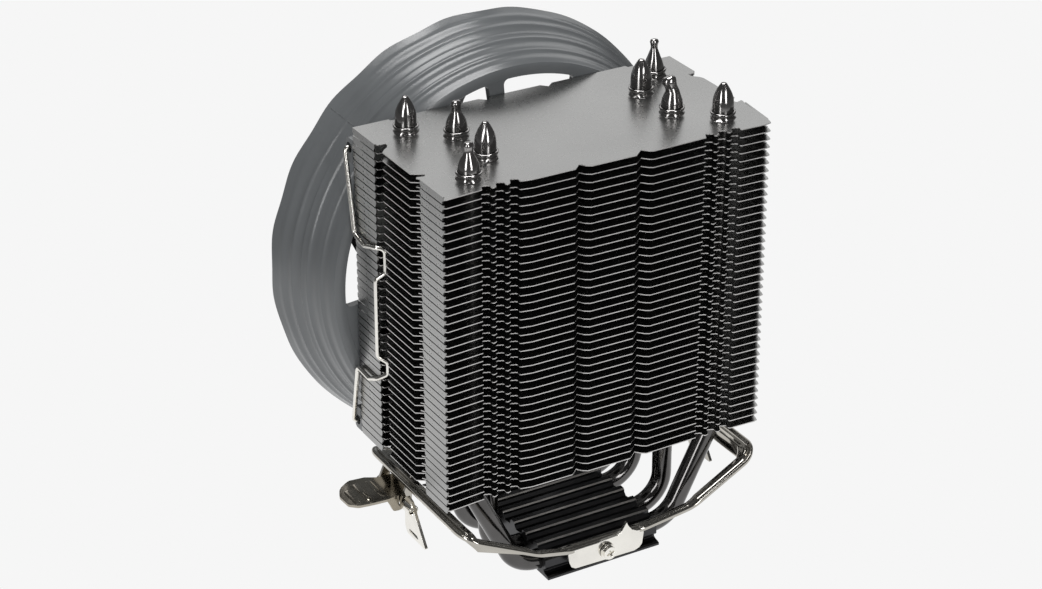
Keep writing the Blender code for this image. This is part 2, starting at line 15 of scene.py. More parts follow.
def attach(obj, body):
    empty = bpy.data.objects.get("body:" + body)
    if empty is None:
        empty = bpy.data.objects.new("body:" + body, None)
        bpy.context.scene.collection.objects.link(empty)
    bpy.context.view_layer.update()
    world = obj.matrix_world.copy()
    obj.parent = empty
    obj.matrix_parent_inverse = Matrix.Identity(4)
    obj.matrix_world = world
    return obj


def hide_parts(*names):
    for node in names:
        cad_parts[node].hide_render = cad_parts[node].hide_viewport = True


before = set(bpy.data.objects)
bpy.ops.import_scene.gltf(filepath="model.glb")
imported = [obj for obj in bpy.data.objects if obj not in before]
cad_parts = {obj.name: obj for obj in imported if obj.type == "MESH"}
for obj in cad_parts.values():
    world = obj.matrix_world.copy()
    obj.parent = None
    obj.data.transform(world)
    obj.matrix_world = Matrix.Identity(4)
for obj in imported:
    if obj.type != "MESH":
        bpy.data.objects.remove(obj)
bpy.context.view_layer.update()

MM = 0.001
ROOT = "cooler"

# fin stack
FIN_COUNT = 40
FIN_PITCH = 2.5
FIN_THICK = 0.28
FIN_BOTTOM_Z = 36.3
FIN_TOP_Z = FIN_BOTTOM_Z + (FIN_COUNT - 1) * FIN_PITCH
TAB_X = 53.4
SHEET_X = 53.0                  # the flat sheet's edge under the tabs
TAB_THICK = 0.45
TAB_DROP = 2.16
TAB_NICK = 0.45                 # chamfer at each tab's lower corners
TAB_BACK = (14.5, 28.1)
TAB_FRONT = (-25.5, -12.5)
TOOTH_PITCH = 4.4

# heat pipes
PIPE_R = 3.0
PIPE_SIDES = 32
PIPE_BASE_Z = 4.1
PIPE_OUTER = (41.4, 18.3)
PIPE_INNER = (30.6, 8.3)

# base
BASE_HALF_X = 19.5
BASE_HALF_Y = 24.9
BASE_FACE_Y = 23.3
BASE_DECK_Z = 7.9
RIDGE_TOP_Z = 9.4
RIDGE_PITCH = 6.9
SCREW_Z = 5.2

# fan
FAN_Z = 80.8
FAN_Y = 28.4
FAN_DEPTH = 25.0
FAN_NEAR_R = 60.2
FAN_FAR_R = 69.4
WINDOW_R = 57.0
WAVES = 20
WAVE_PHASE_DEG = 133.3
SEAM_DEG = 134.7
STRUT_COUNT = 12
STRUT_FIRST_DEG = 6.5
PAD_FIRST_DEG, PAD_LAST_DEG = 187.0, 215.0    # window closed by a pad behind the clip
PAD_INNER_R = 47.0
MOTOR_R = 21.0
HUB_R = 20.5
BLADE_TIP_R = 56.0
BLADE_COUNT = 7
BLADE_FIRST_DEG = 22.0

# wire clips
WIRE_R = 0.7
CLIP_X = 54.5
CLIP_Y = 31.0
CLIP_TOP_Z, CLIP_BOTTOM_Z = 126.5, 37.0
CLIP_TIP_X = 52.2
GROOVE_X = 51.95

# retention frame
SHEET = 1.0
WEB_Y = 26.4
WEB_TOP_Z = 9.2
RAIL_X, RAIL_Z = 51.2, 27.8
RAIL_CORNER_Y = 31.4
ARM_BEND = (26.9, 32.7, 16.3)
PIN_X, PIN_Z, PIN_R = -50.4, 19.6, 1.1
HOOK_X = 50.2
LEVER_Z = 22.2
EAR_YS = (6.85, 21.0)           # the two ears that hold the pin
WING_YS = (7.7, 18.6)           # the lever's folded wings, just inside the ears
PIN_HOLE_R = 1.45

# studio, in metres
PAPER = 0.922                   # the pale backdrop's brightness
ROOM = 0.09                     # brightness of the unlit room around it
POOL_NEAR, POOL_FAR = 0.16, 0.5
POOL_BRIGHT, POOL_DIM = 0.95, 0.12
LENS_MM, SENSOR_MM = 90.35, 36.0
CAMERA_PLACE = (-0.3514, -0.5838, 0.4319)
CAMERA_RIGHT = (0.86611, -0.49985, 0.0)
CAMERA_UP = (0.22973, 0.39806, 0.88814)
CAMERA_BACK = (-0.44394, -0.76923, 0.45959)


# ---------------------------------------------------------------- mesh helpers
def piece(name, bm, mats, body, nodes=(), smooth=None, bevel=None):
    """Object from a bmesh in millimetres, riding on a body and standing for CAD nodes."""
    bmesh.ops.scale(bm, verts=bm.verts, vec=(MM, MM, MM))
    bmesh.ops.recalc_face_normals(bm, faces=bm.faces)
    mesh = bpy.data.meshes.new(name)
    bm.to_mesh(mesh)
    bm.free()
    for mat in mats:
        mesh.materials.append(mat)
    obj = bpy.data.objects.new(name, mesh)
    bpy.context.collection.objects.link(obj)
    dress(obj, body, nodes, smooth, bevel)
    return obj


def dress(obj, body, nodes, smooth=None, bevel=None):
    """Shading, edge rounding and the frame's bookkeeping for one object."""
    if bevel is not None:
        modifier = obj.modifiers.new("rounded_edges", "BEVEL")
        modifier.width = bevel * MM
        modifier.segments = 2
        modifier.limit_method = "ANGLE"
        modifier.angle_limit = math.radians(35.0)
    if smooth is not None:
        obj.data.shade_smooth()
        obj.data.set_sharp_from_angle(angle=math.radians(smooth))
    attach(obj, body)
    if nodes:
        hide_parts(*nodes)


def merged(*parts):
    """One bmesh holding several."""
    whole = bmesh.new()
    for part in parts:
        bmesh.ops.recalc_face_normals(part, faces=part.faces)
        mesh = bpy.data.meshes.new("part")
        part.to_mesh(mesh)
        part.free()
        whole.from_mesh(mesh)
        bpy.data.meshes.remove(mesh)
    return whole


def prism(outline, holes, low, high, side_material=0):
    """Plate between two heights from an outline and holes in plan."""
    bm = bmesh.new()
    edges = []
    for loop in [outline, *holes]:
        ring = [bm.verts.new((x, y, low)) for x, y in loop]
        edges += [bm.edges.new((ring[i - 1], ring[i])) for i in range(len(ring))]
    bmesh.ops.triangle_fill(bm, use_beauty=True, edges=edges)
    grown = bmesh.ops.extrude_face_region(bm, geom=list(bm.faces))["geom"]
    top = [g for g in grown if isinstance(g, bmesh.types.BMVert)]
    bmesh.ops.translate(bm, verts=top, vec=(0.0, 0.0, high - low))
    bm.normal_update()
    for face in bm.faces:
        if abs(face.normal.z) < 0.5:
            face.material_index = side_material
    return bm


# An outline is drawn as (x, y) for a plate along Z, (y, z) along X, (x, z) along Y.
PLATE_TURN = {"Z": Matrix.Identity(4),
              "X": Matrix(((0, 0, 1, 0), (1, 0, 0, 0), (0, 1, 0, 0), (0, 0, 0, 1))),
              "Y": Matrix(((1, 0, 0, 0), (0, 0, 1, 0), (0, 1, 0, 0), (0, 0, 0, 1)))}


def plate(outline, low, high, axis="Z", holes=()):
    bm = prism(outline, holes, low, high)
    bmesh.ops.transform(bm, matrix=PLATE_TURN[axis], verts=bm.verts)
    return bm


def circle(centre, radius, sides):
    turns = [2.0 * math.pi * i / sides for i in range(sides)]
    return [(centre[0] + radius * math.cos(t), centre[1] + radius * math.sin(t)) for t in turns]


def rounded(points, radii, closed=False, steps=8):
    """Polyline with its corners turned into arcs; a radius of 0 keeps the corner."""
    points = [Vector(p) for p in points]
    count = len(points)
    if not hasattr(radii, "__len__"):
        radii = [radii] * count
    result = []
    for i, corner in enumerate(points):
        ends = i in (0, count - 1) and not closed
        if ends or radii[i] == 0:
            result.append(corner)
            continue
        before, after = points[i - 1], points[(i + 1) % count]
        d1, d2 = (corner - before).normalized(), (after - corner).normalized()
        turn = d1.angle(d2)
        if turn < 0.02:
            result.append(corner)
            continue
        room = 0.49 * min((corner - before).length, (after - corner).length)
        setback = min(radii[i] * math.tan(turn / 2), room)
        radius = setback / math.tan(turn / 2)
        inward = (d2 - d1 * math.cos(turn)).normalized()
        for k in range(steps + 1):
            phi = turn * k / steps
            result.append(corner - d1 * setback + d1 * radius * math.sin(phi)
                          + inward * radius * (1 - math.cos(phi)))
    return result


def skin(rings, closed=False):
    """Bmesh over rings of equal length, capped unless the last ring joins the first."""
    bm = bmesh.new()
    loops = [[bm.verts.new(p) for p in ring] for ring in rings]
    count = len(loops[0])
    for i in range(len(loops) if closed else len(loops) - 1):
        a, b = loops[i], loops[(i + 1) % len(loops)]
        for j in range(count):
            k = (j + 1) % count
            bm.faces.new((a[j], a[k], b[k], b[j]))
    if not closed:
        bm.faces.new(loops[0])
        bm.faces.new(loops[-1][::-1])
    return bm


def tube(points, radii, sides, wobble=None):
    """Round tube through points; wobble(i, angle) scales the radius."""
    points = [Vector(p) for p in points]
    if not hasattr(radii, "__len__"):
        radii = [radii] * len(points)
    rings = []
    side = None
    for i, point in enumerate(points):
        along = points[min(i + 1, len(points) - 1)] - points[max(i - 1, 0)]
        along.normalize()
        if side is None:
            guess = Vector((0, 1, 0)) if abs(along.y) < 0.9 else Vector((0, 0, 1))
            side = along.cross(guess).normalized()
        side = (side - along * side.dot(along)).normalized()
        other = along.cross(side)
        ring = []
        for k in range(sides):
            t = 2.0 * math.pi * k / sides
            r = radii[i] * (wobble(i, t) if wobble else 1.0)
            ring.append(point + r * (math.cos(t) * side + math.sin(t) * other))
        rings.append(ring)
    return skin(rings)


def turned(profile, sides, centre=(0.0, 0.0), shape_at=None):
    """Closed (radius, y) profile turned about a Y axis; shape_at gives a radius and a shift along Y."""
    rings = []
    for i in range(sides):
        t = 2.0 * math.pi * i / sides
        ring = []
        for r, y in profile:
            shift = 0.0
            if shape_at is not None:
                r, shift = shape_at(r, y, t)
            ring.append((centre[0] + r * math.cos(t), y + shift, centre[1] + r * math.sin(t)))
        rings.append(ring)
    return skin(rings, closed=True)


# ---------------------------------------------------------------- materials
def shade(colour, factor):
    return tuple(c * factor for c in colour)


class Nodes:
    """Short names for building one Principled material."""

    def __init__(self, name, colour, roughness, metallic):
        self.mat = bpy.data.materials.new(name)
        self.mat.use_nodes = True
        self.mat.diffuse_color = (*colour, 1.0)
        self.tree = self.mat.node_tree
        self.shader = self.tree.nodes["Principled BSDF"]
        self.shader.inputs["Base Color"].default_value = (*colour, 1.0)
        self.shader.inputs["Roughness"].default_value = roughness
        self.shader.inputs["Metallic"].default_value = metallic
        self.place = self.add("ShaderNodeTexCoord").outputs["Object"]

    def add(self, kind, **values):
        node = self.tree.nodes.new(kind)
        for key, value in values.items():
            node.inputs[key].default_value = value
        return node

    def link(self, a, b):
        self.tree.links.new(a, b)

    def noise(self, scale, detail=3.0):
        node = self.add("ShaderNodeTexNoise", Scale=scale, Detail=detail)
        self.link(self.place, node.inputs["Vector"])
        return node.outputs["Fac"]

    def cloudy(self, factor, colour, variation):
        """Base colour that drifts from a little darker to a little lighter."""
        node = self.add("ShaderNodeValToRGB")
        ends = ((0.3, 1.0 - variation), (0.7, 1.0 + variation))
        for element, (at, strength) in zip(node.color_ramp.elements, ends):
            element.position = at
            element.color = (*shade(colour, strength), 1.0)
        self.link(factor, node.inputs["Fac"])
        self.link(node.outputs["Color"], self.shader.inputs["Base Color"])

    def rough(self, factor, low, high):
        node = self.add("ShaderNodeMapRange")
        node.inputs["To Min"].default_value = low
        node.inputs["To Max"].default_value = high
        self.link(factor, node.inputs["Value"])
        self.link(node.outputs["Result"], self.shader.inputs["Roughness"])

    def bump(self, height, strength, distance):
        node = self.add("ShaderNodeBump", Strength=strength)
        node.inputs["Distance"].default_value = distance * MM
        self.link(height, node.inputs["Height"])
        self.link(node.outputs["Normal"], self.shader.inputs["Normal"])


def metal(name, colour, rough_low, rough_high, grain=900.0, cloud=60.0, bump=0.05, variation=0.15):
    """Plated metal: cloudy tone, fine grain in the gloss and a faint texture."""
    m = Nodes(name, colour, rough_low, 1.0)
    m.cloudy(m.noise(cloud, 4.0), colour, variation)
    fine = m.noise(grain, 5.0)
    m.rough(fine, rough_low, rough_high)
    m.bump(fine, bump, 0.05)
    return m.mat


def painted_shade_below_top_fin(mat, factor):
    """Darken a metal below the top fin with painted shade, so the pipes down in and under the fin stack are
    coloured darker than their tips.
    """
    tree = mat.node_tree
    base = tree.nodes["Principled BSDF"].inputs["Base Color"]
    place = tree.nodes.new("ShaderNodeTexCoord")
    split = tree.nodes.new("ShaderNodeSeparateXYZ")
    tree.links.new(place.outputs["Object"], split.inputs["Vector"])
    level = tree.nodes.new("ShaderNodeMapRange")
    level.inputs["From Min"].default_value = (FIN_TOP_Z - 2.0) * MM
    level.inputs["From Max"].default_value = FIN_TOP_Z * MM
    level.inputs["To Min"].default_value = factor
    tree.links.new(split.outputs["Z"], level.inputs["Value"])
    scale = tree.nodes.new("ShaderNodeVectorMath")
    scale.operation = "SCALE"
    tree.links.new(base.links[0].from_socket, scale.inputs[0])
    tree.links.new(level.outputs["Result"], scale.inputs["Scale"])
    tree.links.new(scale.outputs["Vector"], base)
    return mat


def plastic(name, colour, rough_low, rough_high, variation=0.08):
    """Moulded plastic with a fine spark-eroded texture."""
    m = Nodes(name, colour, rough_low, 0.0)
    m.cloudy(m.noise(35.0, 3.0), colour, variation)
    fine = m.noise(2600.0, 2.0)
    m.rough(m.noise(180.0, 4.0), rough_low, rough_high)
    m.bump(fine, 0.25, 0.06)
    return m.mat


fin_coat = metal("fin_coat", (0.36, 0.36, 0.355), 0.25, 0.31, cloud=25.0, bump=0.015, variation=0.05)
fin_edge = metal("fin_edge", (0.62, 0.61, 0.6), 0.3, 0.42, grain=1400.0, cloud=400.0, variation=0.12)
# pipe colour carries painted shade: coloured darker below the top fin
pipe_nickel = painted_shade_below_top_fin(metal("pipe_nickel", (0.36, 0.35, 0.345), 0.09, 0.16, grain=500.0, cloud=90.0), 0.3)
base_coat = metal("base_coat", (0.05, 0.05, 0.052), 0.24, 0.36, grain=1100.0, cloud=70.0)
# painted highlight: bright colour for the base ridges' flanks that face front and up
base_flank_highlight = metal("base_flank_highlight", (0.5, 0.48, 0.46), 0.25, 0.4, grain=1100.0, cloud=200.0, variation=0.25)
fan_shell = plastic("fan_shell", (0.128, 0.135, 0.14), 0.2, 0.28)
rotor_shell = plastic("rotor_shell", (0.035, 0.035, 0.038), 0.36, 0.46)
bright_nickel = metal("bright_nickel", (0.83, 0.81, 0.76), 0.1, 0.2, grain=700.0, cloud=120.0,
                      variation=0.06)
frame_nickel = metal("frame_nickel", (0.46, 0.44, 0.4), 0.05, 0.1, grain=500.0, cloud=80.0, bump=0.015,
                     variation=0.08)
lever_nickel = metal("lever_nickel", (0.36, 0.33, 0.28), 0.14, 0.2, grain=500.0, cloud=110.0, bump=0.02,
                     variation=0.12)
motor_steel = metal("motor_steel_brushed", (0.5, 0.5, 0.5), 0.3, 0.45)
bearing_brass = metal("bearing_brass_turned", (0.7, 0.55, 0.25), 0.2, 0.35)
winding_copper = metal("winding_copper_wire", (0.6, 0.3, 0.15), 0.35, 0.5, grain=2500.0, bump=0.4)
board_green = plastic("board_green_lacquer", (0.02, 0.12, 0.05), 0.3, 0.45)


# ---------------------------------------------------------------- fins
def front_edge():
    """Front edge of a fin from left to right: two rows of teeth and two saw steps."""
    tooth = [(0.0, 0.0), (0.95, 2.0), (1.5, 2.1), (1.95, 1.75), (2.4, 1.8), (2.95, 1.25),
             (2.85, 0.1), (3.1, -0.3), (3.5, -0.4)]
    rows = [[(start + i * TOOTH_PITCH + x, lip + y) for i in range(3) for x, y in tooth]
            for start, lip in ((-41.9, -26.5), (29.5, -27.8))]
    middle = [(-26.6, -27.5), (-13.1, -27.6), (-12.3, -27.0), (-10.7, -25.4), (-9.5, -27.1),
              (-8.1, -28.0), (6.3, -28.2), (7.2, -27.5), (9.3, -25.7), (10.8, -27.4), (12.0, -28.1)]
    return [(-53.9, -27.0), (-53.3, -27.4)] + rows[0] + middle + rows[1] + [(50.0, -28.5), (51.3, -28.2)]


def fin_plan():
    """Outline of a fin: clip groove and slit in each side, the right front corner drawn in."""
    left = [(-SHEET_X, TAB_BACK[1]), (-SHEET_X, 14.3), (-52.9, 13.6), (-51.3, 13.3), (-50.4, 13.4),
            (-50.5, 12.2), (-51.2, 11.0), (-52.6, 10.0), (-53.9, 8.6), (-53.9, -7.7),
            (-50.5, -10.1), (-51.2, -11.2), (-53.4, -10.6), (-53.8, -11.2),
            (-SHEET_X, TAB_FRONT[1]), (-SHEET_X, TAB_FRONT[0] - 0.4)]
    right = [(51.7, -27.0), (51.9, TAB_FRONT[0] - 0.4), (SHEET_X - 0.2, TAB_FRONT[1]),
             (53.2, -11.2), (53.0, -10.6), (51.2, -11.2), (50.5, -10.1), (52.6, -7.8), (52.9, 3.3),
             (52.8, 8.6), (52.2, 10.0), (51.2, 11.0), (50.5, 12.2), (50.4, 13.4), (51.3, 13.3),
             (52.6, 13.6), (SHEET_X, 14.3), (SHEET_X, TAB_BACK[1])]
    back = [(42.0, 28.1), (41.6, 27.0), (38.0, 27.0), (37.6, 28.1), (12.2, 28.1), (10.0, 26.2),
            (8.2, 28.1), (-8.6, 28.1), (-10.4, 26.2), (-12.6, 28.1), (-37.6, 28.1), (-38.0, 27.0),
            (-41.6, 27.0), (-42.0, 28.1)]
    return left + front_edge() + right + back


def pipe_centres():
    return [(sx * x, sy * y) for x, y in (PIPE_OUTER, PIPE_INNER) for sx in (-1, 1) for sy in (-1, 1)]


def tab(side, y0, y1, lean=0.0):
    """Fin edge folded straight down, with nicked lower corners; lean draws its front end in."""
    outline = [(y0, 0.0), (y0, -TAB_DROP + 2 * TAB_NICK), (y0 + TAB_NICK, -TAB_DROP + TAB_NICK),
               (y0 + TAB_NICK, -TAB_DROP), (y1 - TAB_NICK, -TAB_DROP),
               (y1 - TAB_NICK, -TAB_DROP + TAB_NICK), (y1, -TAB_DROP + 2 * TAB_NICK), (y1, 0.0)]
    xs = sorted((side * TAB_X, side * (TAB_X - TAB_THICK)))
    bm = plate(outline, xs[0], xs[1], "X")
    for vert in bm.verts:
        vert.co.x -= side * lean * (y1 - vert.co.y) / (y1 - y0)
    return bm


def collar(centre, turn):
    """Punched rim round a pipe on the top fin: a scalloped foot, a wall and a lip."""
    rings = []
    sides = 40
    # (height, radius, depth of the scallops) up the outside and down the inside
    levels = ((0.0, 3.72, 0.16), (0.2, 3.6, 0.14), (0.5, 3.44, 0.06), (1.0, 3.38, 0.0),
              (1.35, 3.5, 0.0), (1.6, 3.7, 0.02), (1.9, 3.74, 0.03), (2.1, 3.6, 0.03),
              (2.15, 3.25, 0.0), (1.6, 3.2, 0.0), (0.0, 3.2, 0.0))
    for z, r, scallop in levels:
        ring = []
        for k in range(sides):
            t = 2.0 * math.pi * k / sides
            wave = scallop * math.cos(5 * t + turn) + 0.4 * scallop * math.cos(11 * t + 2.0 * turn)
            lift = 0.08 * math.sin(3 * t + turn) if 1.4 < z else 0.0
            reach = r + wave
            ring.append((centre[0] + reach * math.cos(t), centre[1] + reach * math.sin(t), z + lift))
        rings.append(ring)
    return skin(rings, closed=True)


def fin_bmesh():
    holes = [circle(c, PIPE_R + 0.03, 24) for c in pipe_centres()]
    parts = [prism(fin_plan(), holes, -FIN_THICK, 0.0, side_material=1)]
    for side in (-1, 1):
        parts += [tab(side, *TAB_BACK), tab(side, *TAB_FRONT, lean=0.0 if side < 0 else 1.2)]
    return merged(*parts)


def make_fins():
    first = piece("fin_sheet_01", fin_bmesh(), [fin_coat, fin_edge], ROOT, ["fin_01"])
    mesh = first.data
    mesh.transform(Matrix.Translation((0.0, 0.0, FIN_BOTTOM_Z * MM)))
    for i in range(1, FIN_COUNT):
        number = f"{i + 1:02d}"
        obj = bpy.data.objects.new(f"fin_sheet_{number}", mesh)
        obj.location.z = i * FIN_PITCH * MM
        bpy.context.collection.objects.link(obj)
        dress(obj, ROOT, [f"fin_{number}"])
    rims = []
    for k, centre in enumerate(pipe_centres()):
        rim = collar(centre, 1.3 * k)
        bmesh.ops.translate(rim, verts=rim.verts, vec=(0.0, 0.0, FIN_TOP_Z))
        rims.append(rim)
    piece("pipe_collars", merged(*rims), [pipe_nickel], ROOT, (), smooth=50)


# ---------------------------------------------------------------- heat pipes
# (height above the top fin, radius) of each way a pipe is closed
TIPS = {
    "bullet": [(2.0, 3.1), (3.2, 3.15), (5.0, 3.08), (6.2, 2.9), (7.2, 2.6), (8.0, 2.25),
               (8.8, 1.82), (9.6, 1.35), (10.2, 0.98), (10.6, 0.75), (10.7, 0.5), (10.45, 0.2)],
    "pinched": [(2.0, 3.1), (3.2, 3.12), (4.2, 2.95), (5.2, 2.6), (6.2, 2.1), (7.0, 1.65),
                (7.8, 1.38), (8.6, 1.3), (9.3, 1.4), (9.9, 1.45), (10.4, 1.25), (10.75, 0.8),
                (10.7, 0.3)],
    "tall": [(2.0, 3.05), (3.0, 2.95), (4.6, 2.45), (6.0, 1.9), (7.1, 1.5), (8.2, 1.05),
             (9.0, 0.95), (9.8, 1.05), (10.5, 1.18), (11.1, 0.95), (11.35, 0.4)],
    "hooked": [(2.0, 3.1), (3.2, 3.12), (4.4, 2.95), (5.6, 2.5), (6.8, 2.05), (7.8, 1.75),
               (8.6, 1.7), (9.4, 1.85), (10.2, 1.9), (10.9, 1.6), (11.3, 1.0), (11.3, 0.3)],
}


def pipe_route(reach, y, inclined):
    """Half of the U from the middle of the base outwards and up to the top fin."""
    if inclined:
        corners = [(0.0, PIPE_BASE_Z), (26.5, PIPE_BASE_Z), (reach, 34.0), (reach, FIN_TOP_Z)]
        radii = [0, 10.5, 18.0, 0]
    else:
        corners = [(0.0, PIPE_BASE_Z), (reach, PIPE_BASE_Z), (reach, FIN_TOP_Z)]
        radii = [0, reach - 20.4, 0]
    return rounded([(x, y, z) for x, z in corners], radii, steps=14)


def make_pipe(name, reach, y, inclined, tips):
    """One U-shaped pipe; tips names its left and right ends."""
    half = pipe_route(reach, y, inclined)
    path, radii = [], []
    for side, tip in zip((-1, 1), tips):
        points = [(side * p.x, p.y, p.z) for p in half[1:]]
        sizes = [PIPE_R] * len(points)
        for h, r in TIPS[tip]:
            lean = 0.4 * max(0.0, h - 7.0) if tip == "hooked" else 0.0
            points.append((side * reach - 0.87 * lean, y + 0.2 * lean, FIN_TOP_Z + h))
            sizes.append(r)
        if side < 0:
            points, sizes = points[::-1], sizes[::-1]
        path += points
        radii += sizes

    def crimp(i, angle):
        above = max(0.0, path[i][2] - FIN_TOP_Z - 7.0)
        bullet = tips[0 if path[i][0] < 0 else 1] == "bullet"
        return 1.0 + (0.02 if bullet else 0.04) * above * math.cos((5 if bullet else 2) * angle + 0.6)

    bm = tube(path, radii, PIPE_SIDES, crimp)
    piece(f"pipe_{name[-1]}", bm, [pipe_nickel], ROOT, [name], smooth=60)


def make_pipes():
    make_pipe("heatpipe_1", PIPE_OUTER[0], PIPE_OUTER[1], True, ("bullet", "tall"))
    make_pipe("heatpipe_2", PIPE_INNER[0], PIPE_INNER[1], False, ("pinched", "bullet"))
    make_pipe("heatpipe_3", PIPE_INNER[0], -PIPE_INNER[1], False, ("bullet", "hooked"))
    make_pipe("heatpipe_4", PIPE_OUTER[0], -PIPE_OUTER[1], True, ("pinched", "bullet"))


# ---------------------------------------------------------------- base
def base_profile():
    edge = [(-BASE_HALF_Y, 0.0), (-BASE_HALF_Y, 0.8), (-24.2, 1.1), (-22.9, 1.3), (-22.1, 1.7),
            (-22.1, 2.5), (-22.9, 2.9), (-BASE_FACE_Y, 3.4), (-BASE_FACE_Y, 6.0), (-22.6, 6.4),
            (-22.1, BASE_DECK_Z)]
    ridges = []
    for i in range(6):
        y = (i - 2.5) * RIDGE_PITCH
        ridges += [(y - 2.2, BASE_DECK_Z - 0.6), (y - 1.4, BASE_DECK_Z + 0.3), (y - 1.3, RIDGE_TOP_Z - 0.5),
                   (y - 0.9, RIDGE_TOP_Z - 0.08), (y + 0.7, RIDGE_TOP_Z), (y + 1.0, RIDGE_TOP_Z - 0.3),
                   (y + 1.5, BASE_DECK_Z - 0.3)]
    return edge + ridges + [(-y, z) for y, z in reversed(edge)]


def make_base():
    bores = [circle((y, PIPE_BASE_Z), PIPE_R + 0.05, 24)
             for y in (-PIPE_OUTER[1], -PIPE_INNER[1], PIPE_INNER[1], PIPE_OUTER[1])]
    bm = plate(base_profile(), -BASE_HALF_X, BASE_HALF_X, "X", bores)
    bmesh.ops.recalc_face_normals(bm, faces=bm.faces)
    for face in bm.faces:
        # ridge flanks facing front and up get the bright colour as a painted highlight
        lit_flank = face.normal.y < -0.4 and face.normal.z > 0.4 and face.calc_center_median().z > BASE_DECK_Z
        face.material_index = 1 if lit_flank else 0
    piece("base_extrusion", bm, [base_coat, base_flank_highlight], ROOT, ["base_block"], bevel=0.1)


def make_screws():
    """Round heads with a crossed recess."""
    for side, label in ((-1, "front"), (1, "back")):
        inner, step, outer = WEB_Y + 0.3, WEB_Y + 1.1, WEB_Y + 2.0
        arm, half = 1.25, 0.32
        cross = [(half, half), (arm, half), (arm, -half), (half, -half), (half, -arm), (-half, -arm),
                 (-half, -half), (-arm, -half), (-arm, half), (-half, half), (-half, arm), (half, arm)]
        turn = math.radians(20.0)
        c, s = math.cos(turn), math.sin(turn)
        cross = [(x * c - z * s, SCREW_Z + x * s + z * c) for x, z in cross]

        def disc(radius, sides, y0, y1, holes=()):
            return plate(circle((0, SCREW_Z), radius, sides), *sorted((side * y0, side * y1)), "Y", holes)

        parts = [disc(2.1, 36, step, outer, [cross]), disc(2.55, 36, inner, step + 0.02),
                 disc(1.3, 20, BASE_FACE_Y - 0.8, inner)]
        piece(f"screw_{label}_head", merged(*parts), [bright_nickel], ROOT, [f"screw_{label}"],
              smooth=30, bevel=0.22)


# ---------------------------------------------------------------- fan
def shell_radius(s):
    """Funnel with a few moulded steps; s runs from the near edge (0) to the far rim (1)."""
    # (place along the funnel, height, width) of each moulded step
    steps = ((0.225, 0.3, 0.02), (0.43, 0.36, 0.018), (0.52, 0.3, 0.018), (0.665, 0.3, 0.022),
             (0.82, 0.2, 0.05))
    bumps = sum(height * math.exp(-((s - at) / width) ** 2) for at, height, width in steps)
    fade = min(1.0, s / 0.1) * min(1.0, max(0.0, (0.9 - s) / 0.1))
    terraces = 0.16 * math.sin(2.0 * math.pi * 5.2 * (s - 0.04)) * fade
    return FAN_NEAR_R + (FAN_FAR_R - FAN_NEAR_R - 0.1) * s ** 0.95 + bumps + terraces


def make_fan_frame():
    steps = 84
    outer = [(shell_radius(i / steps), FAN_Y + FAN_DEPTH * i / steps) for i in range(2, steps + 1)]
    far = FAN_Y + FAN_DEPTH
    rim = [(FAN_FAR_R - 0.7, far + 0.05), (FAN_FAR_R - 1.9, far - 0.1), (FAN_FAR_R - 2.2, far - 0.5)]
    inside = [(66.2, far - 2.5), (64.6, far - 5.5), (62.4, far - 9.0), (60.2, far - 13.0),
              (58.6, far - 17.0), (58.1, far - 22.0), (57.7, FAN_Y + 2.3),
              (WINDOW_R + 0.2, FAN_Y + 2.2), (WINDOW_R, FAN_Y + 1.9), (WINDOW_R, FAN_Y + 0.3),
              (WINDOW_R + 0.25, FAN_Y), (FAN_NEAR_R - 0.9, FAN_Y)]

    def waved(r, y, angle):
        s = max(0.0, (y - FAN_Y) / FAN_DEPTH - 0.45) / 0.55
        return r, 0.55 * s * s * (math.cos(WAVES * (angle - math.radians(WAVE_PHASE_DEG))) - 0.4)

    parts = [turned(outer + rim + inside, WAVES * 13, (0.0, FAN_Z), waved)]
    for i in range(STRUT_COUNT):
        parts.append(strut(math.radians(STRUT_FIRST_DEG + i * 360.0 / STRUT_COUNT)))
    turn = math.radians(SEAM_DEG)
    seam = [((shell_radius(i / 20) - 0.02) * math.cos(turn), FAN_Y + FAN_DEPTH * i / 20,
             FAN_Z + (shell_radius(i / 20) - 0.02) * math.sin(turn)) for i in range(1, 20)]
    parts.append(tube(seam, 0.1, 6))
    arc = [math.radians(PAD_FIRST_DEG + (PAD_LAST_DEG - PAD_FIRST_DEG) * i / 16) for i in range(17)]
    pad = [(r * math.cos(t), FAN_Z + r * math.sin(t))
           for r, turns in ((WINDOW_R + 0.4, arc), (PAD_INNER_R, arc[::-1])) for t in turns]
    parts.append(plate(pad, FAN_Y + 0.1, FAN_Y + 2.3, "Y"))
    seat = [(MOTOR_R - 0.4, FAN_Y), (MOTOR_R, FAN_Y + 0.4), (MOTOR_R, FAN_Y + 2.1),
            (MOTOR_R - 0.4, FAN_Y + 2.5), (5.6, FAN_Y + 2.5), (5.6, FAN_Y + 14.0),
            (4.3, FAN_Y + 14.0), (4.3, FAN_Y)]
    parts.append(turned(seat, 64, (0.0, FAN_Z)))
    for sx in (-1, 1):
        for z, low, high in ((CLIP_TOP_Z, -4.5, 3.0), (CLIP_BOTTOM_Z, -3.0, 4.5)):
            parts.append(lug(sx, z, low, high))
    piece("fan_shroud", merged(*parts), [fan_shell], ROOT, ["fan_frame"], smooth=38)


